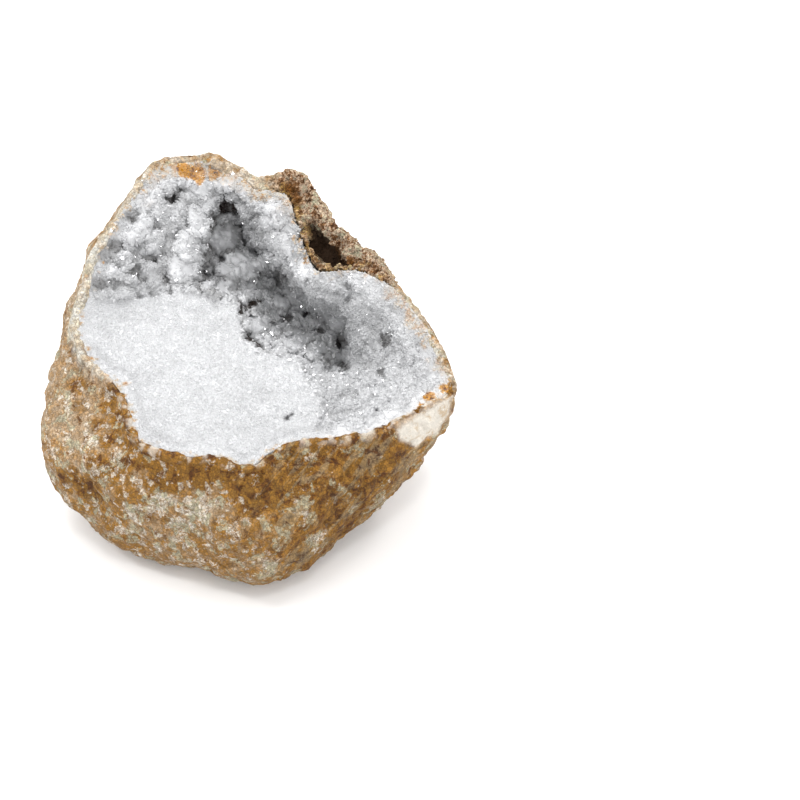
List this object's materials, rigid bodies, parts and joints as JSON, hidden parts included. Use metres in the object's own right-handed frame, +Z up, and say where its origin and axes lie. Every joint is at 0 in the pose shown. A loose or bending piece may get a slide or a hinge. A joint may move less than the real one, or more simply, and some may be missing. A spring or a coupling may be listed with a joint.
{
  "type": "geode half",
  "caption": "Half of a broken quartz geode: a rough ochre limestone shell whose open hollow is lined with a thick crust of white and grey quartz crystals.",
  "frame": {"origin": "on the ground, under the middle of the whole stone's box", "axes": "+Z up, as the stone lies on a table; -Y towards the low near edge of its open mouth, which the picture is taken from; +X to the right in the picture"},
  "size_m": [0.1096, 0.1126, 0.069],
  "materials": {
    "limestone": "rough weathered limestone, mottled ochre, golden brown, cream and grey",
    "quartz": "sparkling milky quartz, white on the mound and grey in the deep hollow"
  },
  "bodies": {
    "root": {"rock_shell": "limestone", "quartz_crust": "quartz"}
  },
  "joints": []
}
